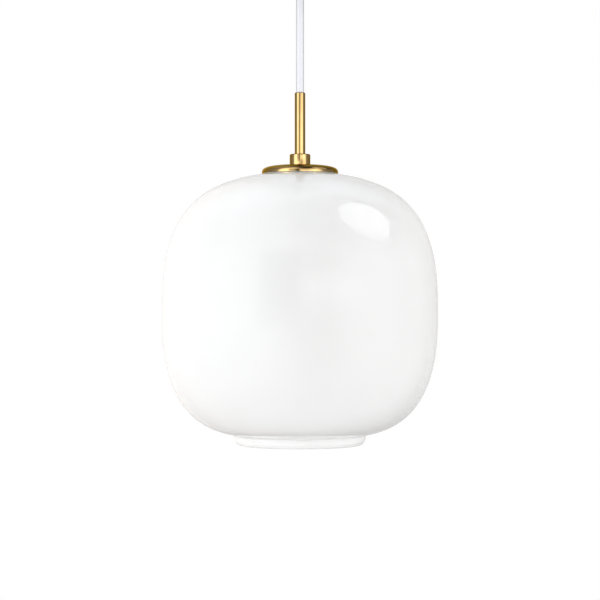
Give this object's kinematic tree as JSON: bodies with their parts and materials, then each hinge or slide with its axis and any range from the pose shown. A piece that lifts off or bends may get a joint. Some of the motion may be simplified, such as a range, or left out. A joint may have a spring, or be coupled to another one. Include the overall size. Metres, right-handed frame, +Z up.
{
  "type": "pendant ceiling light",
  "caption": "Opal glass pendant light: rounded shade with a neck ring, brass cap, collar and stem, hung by a white cord from a ceiling canopy, with lampholder and bulb.",
  "frame": {"origin": "centre of the face that meets the ceiling, where the bracket is screwed on", "axes": "+Z up out of the ceiling face, along the axis of the light; +X along the ceiling bracket"},
  "size_m": [0.25, 0.25, 0.4659],
  "materials": {
    "opal_glass": "gloss",
    "polished_brass": "polished, lacquered",
    "contact_brass": "plain",
    "zinc_steel": "zinc plated",
    "white_paint": "satin",
    "white_flex": "smooth satin",
    "white_nylon": "moulded",
    "clear_silicone": "soft matte",
    "white_resin": "moulded",
    "glazed_porcelain": "glazed",
    "brown_sheath": "extruded",
    "blue_sheath": "extruded",
    "green_yellow_sheath": "extruded",
    "bulb_diffuser": "frosted",
    "bulb_shell": "moulded",
    "nickel_cap": "nickel plated",
    "black_vitrite": "gloss",
    "circuit_board": "solder mask",
    "aluminium_board": "white coated"
  },
  "bodies": {
    "ceiling_fitting": {"ceiling_bracket": "zinc_steel", "ceiling_canopy": "white_paint", "canopy_side_screws": "white_paint", "bracket_earth_screw": "contact_brass", "terminal_block": "white_resin", "terminal_sleeves": "contact_brass", "terminal_screws": "zinc_steel", "cord_grip": "white_nylon", "cord_grip_locknut": "white_nylon", "cord_grip_clamp_screw": "white_nylon", "anchored_cord": "white_flex", "mains_live_wire": "brown_sheath", "mains_neutral_wire": "blue_sheath", "mains_earth_wire": "green_yellow_sheath"},
    "cord_knuckle": {"cord_bend": "white_flex"},
    "hanging_cord": {"cord": "white_flex"},
    "pendant": {"stem": "polished_brass", "stem_cord": "white_flex", "collar": "polished_brass", "cap": "polished_brass", "cap_gasket": "clear_silicone", "shade": "opal_glass", "shade_gasket": "clear_silicone", "carrier_plate": "zinc_steel", "threaded_nipple": "zinc_steel", "lock_washer": "zinc_steel", "clamp_nut": "zinc_steel", "holder_entry_insert": "zinc_steel", "holder_grub_screw": "zinc_steel", "holder_earth_screw": "contact_brass", "cord_clamp_collar": "white_nylon", "holder_dome": "white_resin", "holder_skirt": "white_resin", "holder_insulator": "glazed_porcelain", "holder_screw_shell": "contact_brass", "holder_centre_contact": "contact_brass", "holder_terminals": "contact_brass", "holder_terminal_screws": "zinc_steel", "lamp_live_wire": "brown_sheath", "lamp_neutral_wire": "blue_sheath", "lamp_earth_wire": "green_yellow_sheath"},
    "bulb": {"bulb_globe": "bulb_diffuser", "bulb_housing": "bulb_shell", "bulb_led_board": "aluminium_board", "bulb_driver_board": "circuit_board", "bulb_screw_cap": "nickel_cap", "bulb_insulator": "black_vitrite", "bulb_contact": "nickel_cap"}
  },
  "joints": [
    {"name": "swing_front_back", "type": "hinge", "parent": "ceiling_fitting", "child": "cord_knuckle", "pos_m": [0, 0, -0.058], "axis": [1, 0, 0], "range_deg": [-30, 30]},
    {"name": "swing_side", "type": "hinge", "parent": "cord_knuckle", "child": "hanging_cord", "pos_m": [0, 0, -0.058], "axis": [0, 1, 0], "range_deg": [-30, 30]},
    {"name": "cord_twist", "type": "hinge", "parent": "hanging_cord", "child": "pendant", "pos_m": [0, 0, -0.146], "axis": [0, 0, 1], "range_deg": [-180, 180]},
    {"name": "bulb_out", "type": "slide", "parent": "pendant", "child": "bulb", "axis": [0, 0, -1], "range_m": [0, 0.205]}
  ]
}
